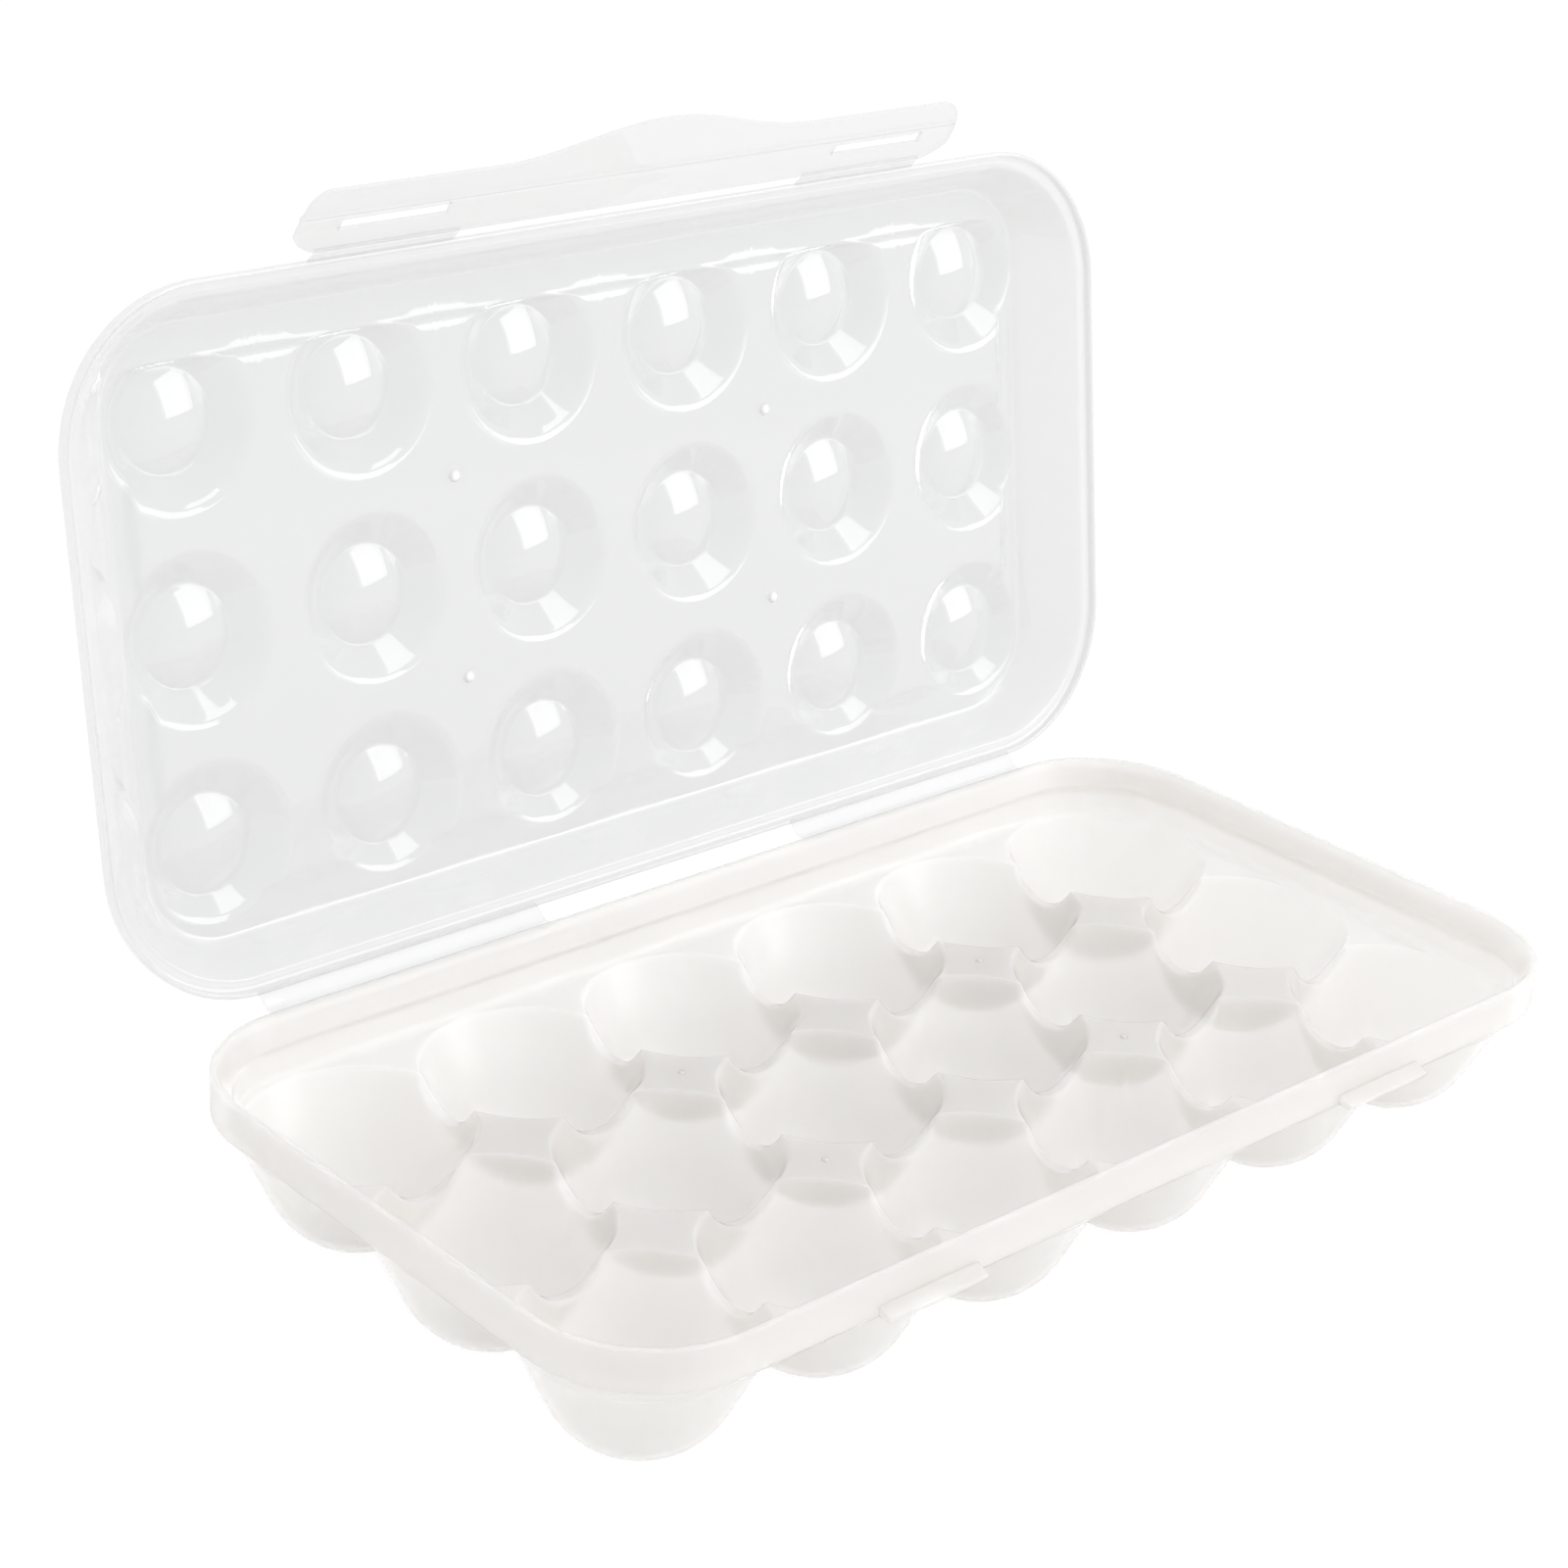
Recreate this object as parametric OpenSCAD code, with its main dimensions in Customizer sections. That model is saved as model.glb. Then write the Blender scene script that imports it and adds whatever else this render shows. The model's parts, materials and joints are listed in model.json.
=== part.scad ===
// Egg keeper with flip lid: a drop-cup tray, a dimpled lid on living hinges
// and a snap clasp. Drawn as it stands open, feet on z = 0, front towards -Y.

/* [Egg grid] */
// Number of cups along the hinge side
columns = 6; // [2:1:8]
// Number of cups from front to back
rows = 3; // [2:1:4]
// Distance between neighbouring cup centres
pitch = 48; // [38:0.5:60]

/* [Cups] */
// Radius of the round inside bottom of a cup
ball_r = 20.2; // [15:0.1:25]
// Lean of the cup's side from the vertical, in degrees
cup_draft = 25; // [8:1:32]
// Height of the posts' flat tops above the feet
deck_z = 29; // [22:0.5:36]
// Depth of the dip between two neighbouring posts
saddle_depth = 6.9; // [4:0.1:9]
// Radius of the dip between two neighbouring posts
saddle_r = 10; // [7:0.1:12]
// Radius of the flat foot under a cup
foot_r = 5; // [3:0.5:8]
// Wall thickness of the tray
tray_wall = 1.3; // [0.9:0.1:2]

/* [Tray rim] */
// Height of the rim above the posts' tops
rim_h = 14; // [9:0.5:20]
// Height of the outer band that hangs from the rim
band_h = 10; // [7:0.5:13]
// Width of the rim's sloping inside, from the outer face to the step line
rim_w = 4.8; // [3.6:0.1:7]
// Height of the step line above the posts' tops
step_h = 8; // [4:0.5:12]
// Flat strip between an end cup's mouth and the end wall
end_strip = 0.3; // [0.2:0.1:6]
// Flat strip between a front or back cup's mouth and its wall
side_strip = 1.1; // [0.2:0.1:6]
// Corner radius of the rim seen from above
tray_corner_r = 30; // [20:1:36]

/* [Lid] */
// Wall thickness of the lid
lid_wall = 1.2; // [0.9:0.1:2]
// How far the lid's ends stand out past the tray's ends
lid_end_out = 3.8; // [0:0.1:8]
// Corner radius of the lid's rim seen from above
lid_corner_r = 36; // [24:1:42]
// Gap between the closed lid's rim and the tray's rim
rim_gap = 0.3; // [0.2:0.1:1]
// Height of the lid's rim skirt, inside
skirt_h = 1.7; // [1:0.1:4]
// Width of the flat ledge inside the lid's rim
ledge_w = 3; // [2:0.1:5]
// Height of the lid's shoulder above the tray's rim, inside
shoulder_h = 14; // [9:0.5:20]
// Inset of the shoulder from the lid's ends
shoulder_in_x = 16.7; // [10:0.1:24]
// Inset of the shoulder from the lid's front and back
shoulder_in_y = 10; // [6:0.1:16]
// Drop of the sunken top panel below the shoulder
panel_drop = 1.6; // [0.6:0.1:3]
// Inset of the panel's edge from the lid's ends
panel_in_x = 23; // [18:0.1:30]
// Inset of the panel's edge from the lid's front and back
panel_in_y = 20; // [14:0.1:26]

/* [Lid dimples] */
// Radius of a dimple where it leaves the panel
dimple_r = 19.2; // [14:0.1:22]
// Radius of the round ridge at the top of a dimple
cap_r = 11.8; // [8:0.1:13]
// Height of the ridge above the panel
cap_h = 5.5; // [3:0.1:8]
// Depth of the dished middle below the ridge
crown_h = 2.4; // [1:0.1:4]

/* [Rear hinge] */
// Angle at which the open lid stands, from closed
lid_open = 98.8; // [0:0.1:180]
// Distance of the hinge line behind the tray's back face
hinge_out = 3.2; // [2.4:0.1:5]
// Depth of the hinge line below the tray's rim
hinge_drop = 1.3; // [0.8:0.1:3]
// Distance of a rear hinge strip's near end from the middle
strip_near = 41; // [10:1:60]
// Length of a rear hinge strip
strip_len = 79; // [40:0.5:100]
// Thickness of a hinge strip where it meets a rim
strip_root = 0.8; // [0.5:0.1:1.2]
// Thickness of a hinge strip beside the bending line
strip_tip = 0.12; // [0.08:0.02:0.16]
// Gap between a leaf's tip and the bending line
leaf_gap = 0.3; // [0.25:0.05:0.5]

/* [Clasp] */
// Angle at which the clasp hangs open, from closed
clasp_open = 50; // [0:1:140]
// Clearance between the closed clasp and the tray's front face
clasp_gap = 0.7; // [0.4:0.1:1.2]
// Thickness of the clasp
clasp_t = 1.2; // [0.9:0.1:2]
// Half the length of the clasp along its hinge edge
clasp_root_x = 91; // [50:1:110]
// How far each end of the clasp swells past its hinge edge
clasp_swell = 6.5; // [2:0.5:9]
// Depth of the clasp from the bending line to its free edge
clasp_depth = 19; // [16.5:0.5:24]
// Extra depth of the thumb tab in the middle
thumb_depth = 7; // [3:0.5:10]
// Half the width of the thumb tab
thumb_half = 46; // [25:1:50]
// Lean of the clasp's lower lip away from the tray, in degrees
lip_lean = 8; // [0:1:20]
// Distance of a clasp hinge strip's near end from the middle
clasp_strip_near = 51.5; // [20:0.5:70]
// Length of a clasp hinge strip
clasp_strip_len = 39; // [20:0.5:50]
// Distance of a catch lug's centre from the middle
lug_x = 72; // [30:0.5:80]
// Length of a catch lug
lug_len = 28; // [14:0.5:36]
// How far a catch lug stands out from the rim band
lug_out = 3.5; // [2.6:0.1:5]
// Height of a catch lug at the band
lug_h = 2.2; // [1.6:0.1:3]
// Clearance all round a lug in its window
window_gap = 0.3; // [0.2:0.05:0.8]

/* [Gate pips] */
// Radius of the small moulding pips
pip_r = 0.9; // [0.5:0.1:1.5]
// Height of the small moulding pips
pip_h = 0.5; // [0.2:0.1:1]

/* [Hidden] */
$fn = 64;

// Segments in a quarter turn of a loft's corner, of a cup's ball and of a crown
corner_steps = 8;
ball_steps = 7;
crown_steps = 4;
// A cut runs this far past the face that it opens
past = 1;
mouth_past = 0.3;

// Cup profile: a ball below a cone that is tangent to it
ball_z = tray_wall + ball_r;
function tangent_r(off) = (ball_r + off) * cos(cup_draft);
function tangent_z(off) = ball_z - (ball_r + off) * sin(cup_draft);
function cup_r(z, off = 0) = tangent_r(off) + (z - tangent_z(off)) * tan(cup_draft);
mouth_r = cup_r(deck_z);

// Cup centres
cup_xs = [for (i = [0 : columns - 1]) (i - (columns - 1) / 2) * pitch];
cup_ys = [for (j = [0 : rows - 1]) (j - (rows - 1) / 2) * pitch];
// Middles of the gaps between neighbouring cups
gap_xs = [for (i = [0 : columns - 2]) (i - (columns - 2) / 2) * pitch];
gap_ys = [for (j = [0 : rows - 2]) (j - (rows - 2) / 2) * pitch];

// Tray rim
foot_inset = rim_w + 0.3;
tray_hx = max(cup_xs) + mouth_r + end_strip + foot_inset;
tray_hy = max(cup_ys) + mouth_r + side_strip + foot_inset;
rim_z = deck_z + rim_h;
band_z = rim_z - band_h;
lug_top = band_z + lug_h;
step_z = deck_z + step_h;
rim_edge = tray_wall + 0.1;

// Lid, in its closed place
lid_hx = tray_hx + lid_end_out;
lid_hy = tray_hy;
lid_z = rim_z + rim_gap;
ledge_z = lid_z + skirt_h;
shoulder_z = rim_z + shoulder_h;
panel_z = shoulder_z - panel_drop;
ledge_in = lid_wall + ledge_w;
// Radii of the corners of the lid's shoulder and of its panel
shoulder_r = 20;
panel_r = 12;
// Height of the bevel where the lid's wall turns into its shoulder
bevel = 1.2;

// Hinge lines, in the closed lid's place
hinge_y = tray_hy + hinge_out;
hinge_z = rim_z - hinge_drop;
clasp_in_y = tray_hy + clasp_gap;
clasp_y = -(clasp_in_y + clasp_t / 2);
clasp_z = lid_z - 0.7;

// Clasp, measured down from its bending line when it hangs closed
clasp_root = 1.2;
window_top = clasp_z - band_z - lug_h - window_gap;
window_bottom = clasp_z - band_z + 2 * window_gap;
fold_s = window_bottom + 1;
fold_rib = 0.5;
swell_s = 6.5;
corner_s = fold_s + 0.8;
edge_steps = 24;

// Where the whole part is set, so that its box at rest is centred
function open_y(y, z) = hinge_y + (y - hinge_y) * cos(lid_open) + (z - hinge_z) * sin(lid_open);
rest_y_max = max([for (p = dimple_outline(lid_wall)) open_y(cup_ys[0] - p[0], p[1])]);
rest_y_min = -tray_hy - lug_out;
middle_y = (rest_y_max + rest_y_min) / 2;

// One ring of points round a rounded rectangle [half x, half y, radius, z]
function ring(s) = [for (q = [0 : 3], k = [0 : corner_steps])
    let (a = 90 * q + 90 * k / corner_steps,
        sx = (q == 0 || q == 3) ? 1 : -1,
        sy = (q < 2) ? 1 : -1)
    [sx * (s[0] - s[2]) + s[2] * cos(a), sy * (s[1] - s[2]) + s[2] * sin(a), s[3]]];

// Closed loft through a stack of rounded rectangles, lowest first
module loft(sections) {
    n = 4 * (corner_steps + 1);
    last = len(sections) - 1;
    polyhedron([for (s = sections) each ring(s)],
        concat([[for (k = [0 : n - 1]) k]],
            [for (i = [0 : last - 1], k = [0 : n - 1])
                let (a = i * n + k, b = i * n + (k + 1) % n)
                each [[a, a + n, b + n], [a, b + n, b]]],
            [[for (k = [n - 1 : -1 : 0]) last * n + k]]));
}

// Rounded rectangle set in from the tray's outline
function tray_at(inset, z) = [tray_hx - inset, tray_hy - inset, tray_corner_r - inset, z];
// Rounded rectangle set in from the lid's outline
function lid_at(in_x, in_y, r, z) = [lid_hx - in_x, lid_hy - in_y, r, z];

// Flat outline of a rounded rectangle
module rounded(hx, hy, r) {
    square([2 * (hx - r), 2 * hy], center = true);
    square([2 * hx, 2 * (hy - r)], center = true);
    for (sx = [-1, 1], sy = [-1, 1])
        translate([sx * (hx - r), sy * (hy - r)]) circle(r = r);
}

// Turned body of a cup, grown by off, from its bottom up to top_z
module cup_body(off, top_z) {
    r = ball_r + off;
    arc = [for (k = [0 : ball_steps])
        let (a = (90 - cup_draft) * k / ball_steps)
        [r * sin(a), ball_z - r * cos(a)]];
    flat = off > 0 ? foot_r : 0;
    rotate_extrude()
        polygon(concat([[0, ball_z - r], [flat, ball_z - r]],
            [for (p = arc) if (p[0] > flat + 0.5) p],
            [[cup_r(top_z, off), top_z], [0, top_z]]));
}

module at_cups() {
    for (x = cup_xs, y = cup_ys) translate([x, y, 0]) children();
}

// Round dips on the ridges between neighbouring cups
module saddles(off, extra) {
    low_z = deck_z - saddle_depth;
    half = max(1, pitch / 2 - cup_r(low_z) + 2.2) + extra;
    for (x = gap_xs, y = cup_ys)
        translate([x, y, low_z + saddle_r]) rotate([0, 90, 0])
            cylinder(r = saddle_r + off, h = 2 * half, center = true);
    for (x = cup_xs, y = gap_ys)
        translate([x, y, low_z + saddle_r]) rotate([90, 0, 0])
            cylinder(r = saddle_r + off, h = 2 * half, center = true);
}

// Wedge that holds the closed clasp, under its window
module catch_lug() {
    rotate([90, 0, 90])
        linear_extrude(height = lug_len, center = true)
            polygon([[-tray_hy + 0.2, band_z], [-tray_hy - lug_out, band_z],
                [-tray_hy - lug_out, band_z + lug_h * 0.45], [-tray_hy, lug_top],
                [-tray_hy + 0.2, lug_top]]);
}

module pip(x, y, z) {
    translate([x, y, z]) cylinder(r1 = pip_r, r2 = pip_r * 0.6, h = pip_h);
}

// Pips sit on the second and on the last but one gap
pip_xs = columns > 3 ? [gap_xs[1], gap_xs[columns - 3]] : [gap_xs[0]];

module tray() {
    color([0.93, 0.92, 0.9]) placed()
    difference() {
        union() {
            difference() {
                union() {
                    loft([tray_at(foot_inset - tray_wall, deck_z - tray_wall),
                        tray_at(rim_w - tray_wall, step_z),
                        tray_at(rim_edge - tray_wall, rim_z)]);
                    translate([0, 0, band_z]) linear_extrude(height = band_h)
                        difference() {
                            rounded(tray_hx, tray_hy, tray_corner_r);
                            rounded(tray_hx - tray_wall, tray_hy - tray_wall,
                                tray_corner_r - tray_wall);
                        }
                }
                loft([tray_at(foot_inset, deck_z), tray_at(rim_w, step_z),
                    tray_at(rim_edge, rim_z),
                    tray_at(rim_edge, rim_z + past)]);
            }
            at_cups() cup_body(tray_wall, deck_z - tray_wall / 2);
            intersection() {
                saddles(tray_wall, 0);
                translate([0, 0, deck_z / 2 - tray_wall / 2])
                    cube([2 * tray_hx, 2 * tray_hy, deck_z], center = true);
            }
            for (s = [-1, 1]) translate([s * lug_x, 0, 0]) catch_lug();
            for (x = pip_xs, y = gap_ys) pip(x, y, deck_z - 0.1);
        }
        at_cups() cup_body(0, deck_z + mouth_past);
        saddles(0, 0.5);
    }
}

// Profile of a dimple, from its foot on the panel up to its ridge and in over its dished middle
function dimple_outline(off) =
    let (slope = atan2(cap_h, dimple_r - cap_r),
        crown_rad = (cap_r * cap_r + crown_h * crown_h) / (2 * crown_h),
        cap_angle = asin(cap_r / crown_rad),
        centre_z = panel_z + cap_h - crown_h + crown_rad,
        out = [sin(slope), cos(slope)],
        back = [-sin(cap_angle), cos(cap_angle)])
    concat([[dimple_r + off * tan(slope / 2), panel_z + off]],
        [[cap_r, panel_z + cap_h] + off * (out + back) / (1 + out * back)],
        [for (k = [crown_steps - 1 : -1 : 0])
            let (a = cap_angle * k / crown_steps)
            [(crown_rad - off) * sin(a), centre_z - (crown_rad - off) * cos(a)]]);

module dimple(off) {
    outline = dimple_outline(off);
    foot = outline[0];
    rotate_extrude()
        polygon(concat([[0, foot[1] - lid_wall / 2], [foot[0], foot[1] - lid_wall / 2]], outline));
}

// Frustum that sinks the lid's top, down to the panel
module panel_sink(off) {
    loft([lid_at(panel_in_x, panel_in_y, panel_r, panel_z + off),
        lid_at(shoulder_in_x, shoulder_in_y, shoulder_r, shoulder_z + off),
        lid_at(shoulder_in_x, shoulder_in_y, shoulder_r, shoulder_z + off + past)]);
}

// Body of the lid, from its rim up to the sunken top, grown by off
module lid_body(off) {
    side = lid_wall - off;
    foot = ledge_in - off;
    corner = lid_corner_r - ledge_in + off;
    difference() {
        union() {
            loft([lid_at(side, side, lid_corner_r - side, off > 0 ? lid_z : lid_z - past),
                lid_at(side, side, lid_corner_r - side, ledge_z + off)]);
            loft([lid_at(foot, foot, corner, ledge_z - lid_wall / 2),
                lid_at(foot, foot, corner, ledge_z + off),
                lid_at(shoulder_in_x - bevel / 2 - off, shoulder_in_y - bevel / 2 - off,
                    shoulder_r + off, shoulder_z + off - bevel),
                lid_at(shoulder_in_x, shoulder_in_y, shoulder_r, shoulder_z + off)]);
        }
        panel_sink(off);
    }
    at_cups() dimple(off);
}

module closed_lid() {
    difference() {
        lid_body(lid_wall);
        lid_body(0);
    }
    for (x = pip_xs, y = gap_ys) translate([x, y, panel_z + 0.1]) mirror([0, 0, 1]) pip(0, 0, 0);
}

// Leaf of a living hinge between two root corners [y, z] and a bending line, thin at its tip
module leaf(root_a, root_b, line, near, len) {
    away = (root_a + root_b) / 2 - line;
    dir = away / norm(away);
    side = [-dir[1], dir[0]];
    tip = line + dir * leaf_gap;
    rotate([90, 0, 90]) translate([0, 0, near]) linear_extrude(height = len)
        polygon([tip + side * strip_tip / 2, root_a, root_b, tip - side * strip_tip / 2]);
}

rear_line = [hinge_y, hinge_z];
clasp_line = [clasp_y, clasp_z];
// Middle of a leaf's root on the tray's back face and on the lid's edge
tray_root_z = hinge_z + 0.1;
lid_root_z = lid_z + 1.6;
half_root = strip_root / 2;

module rear_tray_leaf(near) {
    leaf([tray_hy, tray_root_z - half_root], [tray_hy, tray_root_z + half_root],
        rear_line, near, strip_len);
}

module rear_lid_leaf(near) {
    leaf([lid_hy, lid_root_z - half_root], [lid_hy, lid_root_z + half_root],
        rear_line, near, strip_len);
}

module clasp_lid_leaf(near) {
    leaf([-lid_hy, lid_root_z + half_root], [-lid_hy, lid_root_z - half_root],
        clasp_line, near, clasp_strip_len);
}

module clasp_own_leaf(near) {
    root_z = clasp_z - clasp_root;
    leaf([clasp_y + half_root, root_z], [clasp_y - half_root, root_z],
        clasp_line, near, clasp_strip_len);
}

// Depth of the clasp's free edge at x
function edge_s(x) = clasp_depth - 0.7 + thumb_depth * pow(cos(min(90, 90 * abs(x) / thumb_half)), 2);

// Clasp as it hangs closed, seen from the front
module clasp_outline() {
    polygon(concat(
        [for (side = [-1, 1], p = side < 0
            ? [[clasp_root_x, clasp_root], [clasp_root_x + clasp_swell, swell_s],
                [clasp_root_x + clasp_swell * 0.7, corner_s],
                [clasp_root_x + clasp_swell * 0.4, corner_s + 3.2]]
            : []) [-p[0], -p[1]]],
        [for (k = [0 : edge_steps])
            let (x = clasp_root_x * (2 * k / edge_steps - 1))
            [x, -edge_s(x)]],
        [[clasp_root_x + clasp_swell * 0.4, -corner_s - 3.2],
            [clasp_root_x + clasp_swell * 0.7, -corner_s],
            [clasp_root_x + clasp_swell, -swell_s], [clasp_root_x, -clasp_root]]));
}

// Section of the clasp across the tray's front, with a fold above its lip
module clasp_section() {
    low = clasp_depth + thumb_depth + past;
    lean = (low - fold_s) * tan(lip_lean);
    polygon([[0, 0], [0, -fold_s], [-lean, -low], [-lean - clasp_t, -low],
        [-clasp_t, -fold_s - 0.4], [-clasp_t - fold_rib, -fold_s],
        [-clasp_t, -fold_s + 0.4], [-clasp_t, 0]]);
}

module closed_clasp() {
    translate([0, -clasp_in_y, clasp_z])
        difference() {
            intersection() {
                rotate([90, 0, 90])
                    linear_extrude(height = 3 * clasp_root_x, center = true) clasp_section();
                translate([0, 3, 0]) rotate([90, 0, 0])
                    linear_extrude(height = 12) clasp_outline();
            }
            for (s = [-1, 1])
                translate([s * lug_x, 0, -(window_top + window_bottom) / 2])
                    cube([lug_len + 4 * window_gap, 6, window_bottom - window_top], center = true);
        }
}

// Moves a piece from the closed lid's place to the open one
module with_lid() {
    translate([0, hinge_y, hinge_z]) rotate([-lid_open, 0, 0])
        translate([0, -hinge_y, -hinge_z]) children();
}

// Moves a piece from the closed clasp's place to the open one on the open lid
module with_clasp() {
    with_lid() translate([0, clasp_y, clasp_z]) rotate([-clasp_open, 0, 0])
        translate([0, -clasp_y, -clasp_z]) children();
}

// The whole part, moved so that its box at rest is centred on the origin
module placed() {
    translate([0, -middle_y, 0]) children();
}

module lid() {
    color([0.86, 0.88, 0.9]) placed() with_lid() closed_lid();
}

module clasp() {
    color([0.86, 0.88, 0.9]) placed() with_clasp() closed_clasp();
}

module rear_hinge_left_tray_leaf() {
    color([0.9, 0.9, 0.9]) placed() rear_tray_leaf(-strip_near - strip_len);
}

module rear_hinge_right_tray_leaf() {
    color([0.9, 0.9, 0.9]) placed() rear_tray_leaf(strip_near);
}

module rear_hinge_left_lid_leaf() {
    color([0.86, 0.88, 0.9]) placed() with_lid() rear_lid_leaf(-strip_near - strip_len);
}

module rear_hinge_right_lid_leaf() {
    color([0.86, 0.88, 0.9]) placed() with_lid() rear_lid_leaf(strip_near);
}

module clasp_hinge_left_lid_leaf() {
    color([0.86, 0.88, 0.9]) placed() with_lid() clasp_lid_leaf(-clasp_strip_near - clasp_strip_len);
}

module clasp_hinge_right_lid_leaf() {
    color([0.86, 0.88, 0.9]) placed() with_lid() clasp_lid_leaf(clasp_strip_near);
}

module clasp_hinge_left_clasp_leaf() {
    color([0.86, 0.88, 0.9]) placed() with_clasp() clasp_own_leaf(-clasp_strip_near - clasp_strip_len);
}

module clasp_hinge_right_clasp_leaf() {
    color([0.86, 0.88, 0.9]) placed() with_clasp() clasp_own_leaf(clasp_strip_near);
}

tray();
rear_hinge_left_tray_leaf();
rear_hinge_left_lid_leaf();
rear_hinge_right_tray_leaf();
rear_hinge_right_lid_leaf();
lid();
clasp_hinge_left_lid_leaf();
clasp_hinge_left_clasp_leaf();
clasp_hinge_right_lid_leaf();
clasp_hinge_right_clasp_leaf();
clasp();
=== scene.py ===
import json
import math

import bpy
import numpy as np
from mathutils import Matrix, Vector


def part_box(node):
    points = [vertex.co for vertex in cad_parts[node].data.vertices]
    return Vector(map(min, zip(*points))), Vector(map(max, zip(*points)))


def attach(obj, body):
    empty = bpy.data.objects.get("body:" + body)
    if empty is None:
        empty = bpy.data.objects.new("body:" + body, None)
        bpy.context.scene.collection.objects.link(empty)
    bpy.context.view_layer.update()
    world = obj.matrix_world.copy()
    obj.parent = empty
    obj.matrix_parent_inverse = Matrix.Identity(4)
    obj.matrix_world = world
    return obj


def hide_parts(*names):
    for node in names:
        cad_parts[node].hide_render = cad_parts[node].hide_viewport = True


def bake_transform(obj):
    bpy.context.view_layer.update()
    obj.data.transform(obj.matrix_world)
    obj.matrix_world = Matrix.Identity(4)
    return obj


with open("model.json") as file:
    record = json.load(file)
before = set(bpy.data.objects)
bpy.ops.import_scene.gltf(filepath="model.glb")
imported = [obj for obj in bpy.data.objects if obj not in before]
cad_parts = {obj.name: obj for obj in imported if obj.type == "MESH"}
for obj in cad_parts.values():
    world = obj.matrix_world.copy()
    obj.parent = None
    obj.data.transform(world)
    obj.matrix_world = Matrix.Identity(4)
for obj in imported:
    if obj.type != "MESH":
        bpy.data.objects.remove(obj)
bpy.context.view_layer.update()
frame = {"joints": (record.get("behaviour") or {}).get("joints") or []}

# ---------------------------------------------------------------- sizes, in millimetres, as in the CAD source
MM = 0.001
COLUMNS, ROWS, PITCH = 6, 3, 48.0

# Tray: cups with a round bottom and drafted walls, saddles between them, a step, a rim and a band with two lugs
TRAY_WALL = 1.3
BALL_R, DRAFT = 20.2, math.radians(25)
DECK_Z = 29.0
SADDLE_DEPTH, SADDLE_R = 6.9, 10.0
EDGE_ROUND, WALL_FILLET = 1.1, 1.6
TRAY_CORNER_R, FOOT_INSET = 30.0, 5.1
RIM_Z, BAND_Z = 43.0, 33.0
LUG_X, LUG_LEN, LUG_OUT, LUG_H = 72.0, 28.0, 3.5, 2.2

# Lid, as it lies closed: skirt, ledge, sloping wall, shoulder, crease, sunken panel and dimples
LID_WALL, LID_END_OUT, LID_CORNER_R = 1.2, 3.8, 36.0
LID_Z, LEDGE_Z, SHOULDER_Z, PANEL_Z = 43.3, 45.0, 57.0, 55.4
SHOULDER_IN, SHOULDER_R = (16.7, 10.0), 20.0
PANEL_IN, PANEL_R = (23.0, 20.0), 12.0
CREASE_RUN, CREASE_H = 1.5, 1.7
DIMPLE_R, RIDGE_R, RIDGE_H, DISH_H = 19.2, 11.8, 5.5, 2.4
RIDGE_ROUND, DIMPLE_ROUND = 0.25, 0.9
FRONT_FADE = 1.8                        # past the front crease, dimples end within this

# Clasp, as it hangs closed, and depths below its bending line
CLASP_GAP, CLASP_T, CLASP_DROP, CLASP_ROOT = 0.7, 1.2, 0.7, 1.2
CLASP_ROOT_X, CLASP_SWELL, SWELL_S = 91.0, 6.5, 6.5
CLASP_DEPTH, THUMB_DEPTH, THUMB_HALF = 18.3, 7.0, 46.0
FOLD_S, FOLD_DEEP, FOLD_WIDTH, LIP_LEAN = 11.2, 0.4, 0.45, math.radians(8)
END_FULLNESS = 2.6                      # how squarely the clasp's ends round off
WINDOW_X, WINDOW_S = (57.4, 86.6), (7.1, 10.2)
SOFT_EDGE = 0.3

# Bending strips: place and length along X, thickness at the bending line and at the roots
STRIP_NEAR, STRIP_LEN = 41.0, 79.0
CLASP_STRIP_NEAR, CLASP_STRIP_LEN = 51.5, 39.0
WEB_T, ROOT_T, ROOT_SINK = 0.4, 0.8, 0.3
BEND_REACH, THIN_REACH = 1.1, 1.3       # how far from the line a strip curves, and stays thin

# Gate pips: radius and height
TRAY_PIP, LID_PIP = (0.9, 0.5), (1.3, 0.8)

# Spacing of the mesh along the edges of the cells
TRAY_STEP, LID_STEP = 1.1, 1.2

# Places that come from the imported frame
joints = {j["name"]: j for j in frame["joints"]}
tray_low, tray_high = [np.array(c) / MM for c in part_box("tray")]
TRAY_HX = tray_high[0]
TRAY_HY = (tray_high[1] - tray_low[1] - LUG_OUT) / 2
MIDDLE_Y = TRAY_HY - tray_high[1]
HINGE_Y = joints["lid_hinge"]["pos_m"][1] / MM + MIDDLE_Y
HINGE_Z = joints["lid_hinge"]["pos_m"][2] / MM
LID_OPEN = math.radians(joints["lid_hinge"]["range_deg"][1])
CLASP_OPEN = math.radians(joints["clasp_hinge"]["range_deg"][1])
LID_HX, LID_HY = TRAY_HX + LID_END_OUT, TRAY_HY
CLASP_IN_Y = TRAY_HY + CLASP_GAP
CLASP_Y, CLASP_Z = -(CLASP_IN_Y + CLASP_T / 2), LID_Z - CLASP_DROP

CUP_XS = [(i - (COLUMNS - 1) / 2) * PITCH for i in range(COLUMNS)]
CUP_YS = [(j - (ROWS - 1) / 2) * PITCH for j in range(ROWS)]
GAP_XS = [(i - (COLUMNS - 2) / 2) * PITCH for i in range(COLUMNS - 1)]
GAP_YS = [(j - (ROWS - 2) / 2) * PITCH for j in range(ROWS - 1)]
CENTRES = np.array([(x, y) for x in CUP_XS for y in CUP_YS])
MOUTH_R = (BALL_R * math.cos(DRAFT)
           + (DECK_Z - TRAY_WALL - BALL_R + BALL_R * math.sin(DRAFT)) * math.tan(DRAFT))


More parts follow.
